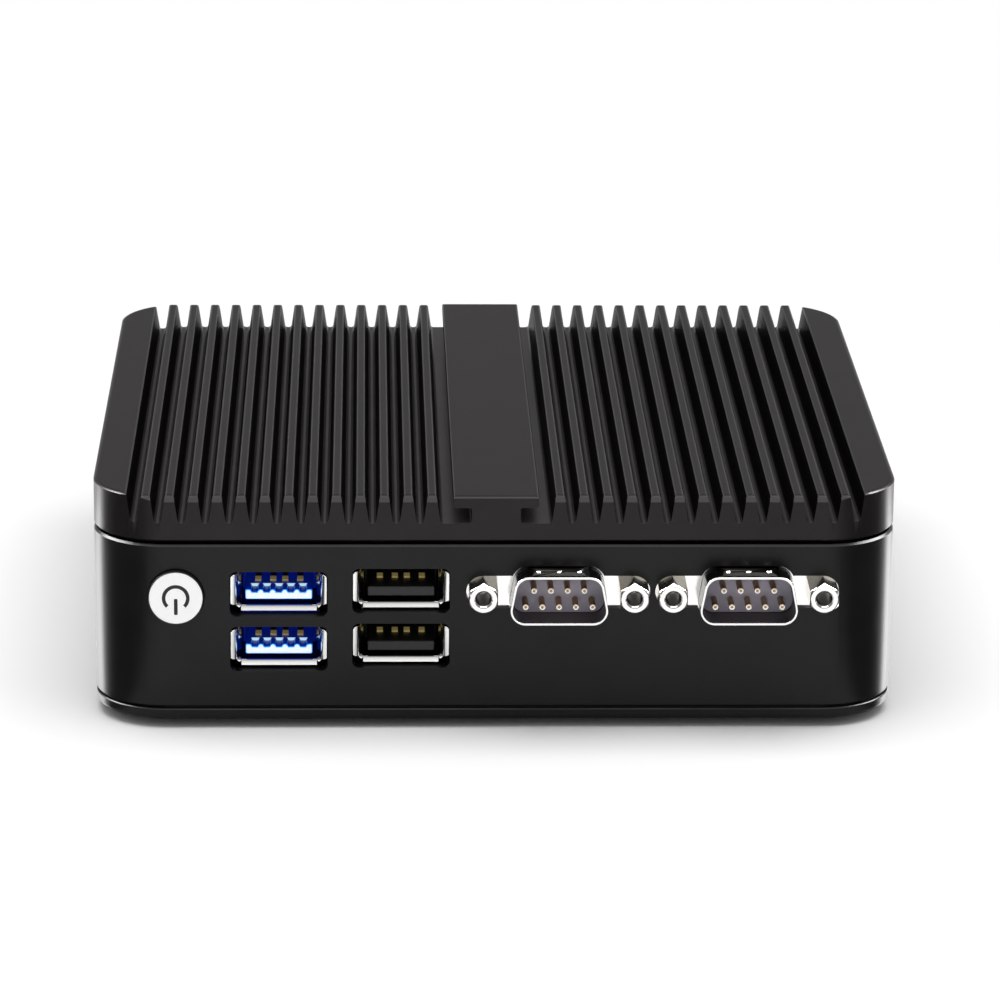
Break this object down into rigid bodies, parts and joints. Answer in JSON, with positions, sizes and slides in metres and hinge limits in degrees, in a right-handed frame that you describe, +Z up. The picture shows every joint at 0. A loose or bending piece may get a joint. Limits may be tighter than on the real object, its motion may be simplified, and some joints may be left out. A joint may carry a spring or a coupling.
{
  "type": "fanless industrial pc",
  "caption": "Low square computer in a ribbed black aluminium case, with a round power button, stacked data ports and D-shaped serial ports on its front.",
  "frame": {"origin": "centre of the four bracket holes on the underside of the bottom plate", "axes": "+X to the right seen from the front, +Y from the front to the rear, +Z up through the finned cover"},
  "size_m": [0.134, 0.1397, 0.0405],
  "materials": {
    "black_anodised": "satin black anodised aluminium",
    "dark_screw": "black oxide steel",
    "foot_rubber": "matt black rubber",
    "board_laminate": "green solder mask on glass-fibre laminate",
    "chip_mould": "matt black chip moulding",
    "thermal_pad": "soft grey gap pad",
    "bright_shell": "bright nickel-plated steel",
    "warm_nickel": "warm nickel plating on the jackscrews and flanges",
    "gold_contact": "gold-flashed contacts",
    "blue_insulator": "bright blue moulded plastic",
    "black_insulator": "black moulded plastic",
    "grey_insulator": "grey-lilac moulded plastic",
    "white_face": "gloss white button face",
    "drive_case": "plain aluminium drive case",
    "cell_steel": "nickel-plated cell can",
    "lead_black": "black lead jacket"
  },
  "bodies": {
    "case": {"heatsink_cover": "black_anodised", "housing_frame": "black_anodised", "bottom_plate": "black_anodised", "case_screws": "dark_screw", "drive_screws": "dark_screw", "board_screws": "bright_shell", "foot_front_left": "foot_rubber", "foot_front_right": "foot_rubber", "foot_rear_left": "foot_rubber", "foot_rear_right": "foot_rubber", "motherboard": "board_laminate", "cpu_package": "chip_mould", "cpu_thermal_pad": "thermal_pad", "memory_module": "board_laminate", "memory_socket": "black_insulator", "wifi_card": "board_laminate", "wifi_socket": "black_insulator", "coin_cell": "cell_steel", "coin_cell_holder": "black_insulator", "sata_drive": "drive_case", "sata_lead": "lead_black", "power_switch_body": "black_insulator", "usb3_shell": "bright_shell", "usb3_insulator": "blue_insulator", "usb3_contacts": "gold_contact", "usb2_shell": "bright_shell", "usb2_insulator": "black_insulator", "usb2_contacts": "gold_contact", "com1_shell": "bright_shell", "com1_jackscrews": "warm_nickel", "com1_insulator": "grey_insulator", "com1_pins": "gold_contact", "com2_shell": "bright_shell", "com2_jackscrews": "warm_nickel", "com2_insulator": "grey_insulator", "com2_pins": "gold_contact", "vga_shell": "bright_shell", "vga_jackscrews": "warm_nickel", "vga_insulator": "blue_insulator", "hdmi_shell": "bright_shell", "hdmi_insulator": "black_insulator", "lan1_shell": "bright_shell", "lan1_insulator": "black_insulator", "lan2_shell": "bright_shell", "lan2_insulator": "black_insulator", "dc_jack_body": "black_insulator", "dc_jack_pin": "bright_shell", "audio_jack": "black_insulator", "antenna_jack_left": "gold_contact", "antenna_jack_right": "gold_contact", "antenna_nuts": "gold_contact", "antenna_lead_left": "lead_black", "antenna_lead_right": "lead_black"},
    "power_button": {"power_button_cap": "black_insulator", "power_button_face": "white_face", "power_switch_plunger": "black_insulator"}
  },
  "joints": [
    {"name": "power_press", "type": "slide", "parent": "case", "child": "power_button", "axis": [0, 1, 0], "range_m": [0, 0.0005], "stiffness_N_per_m": 1500}
  ]
}
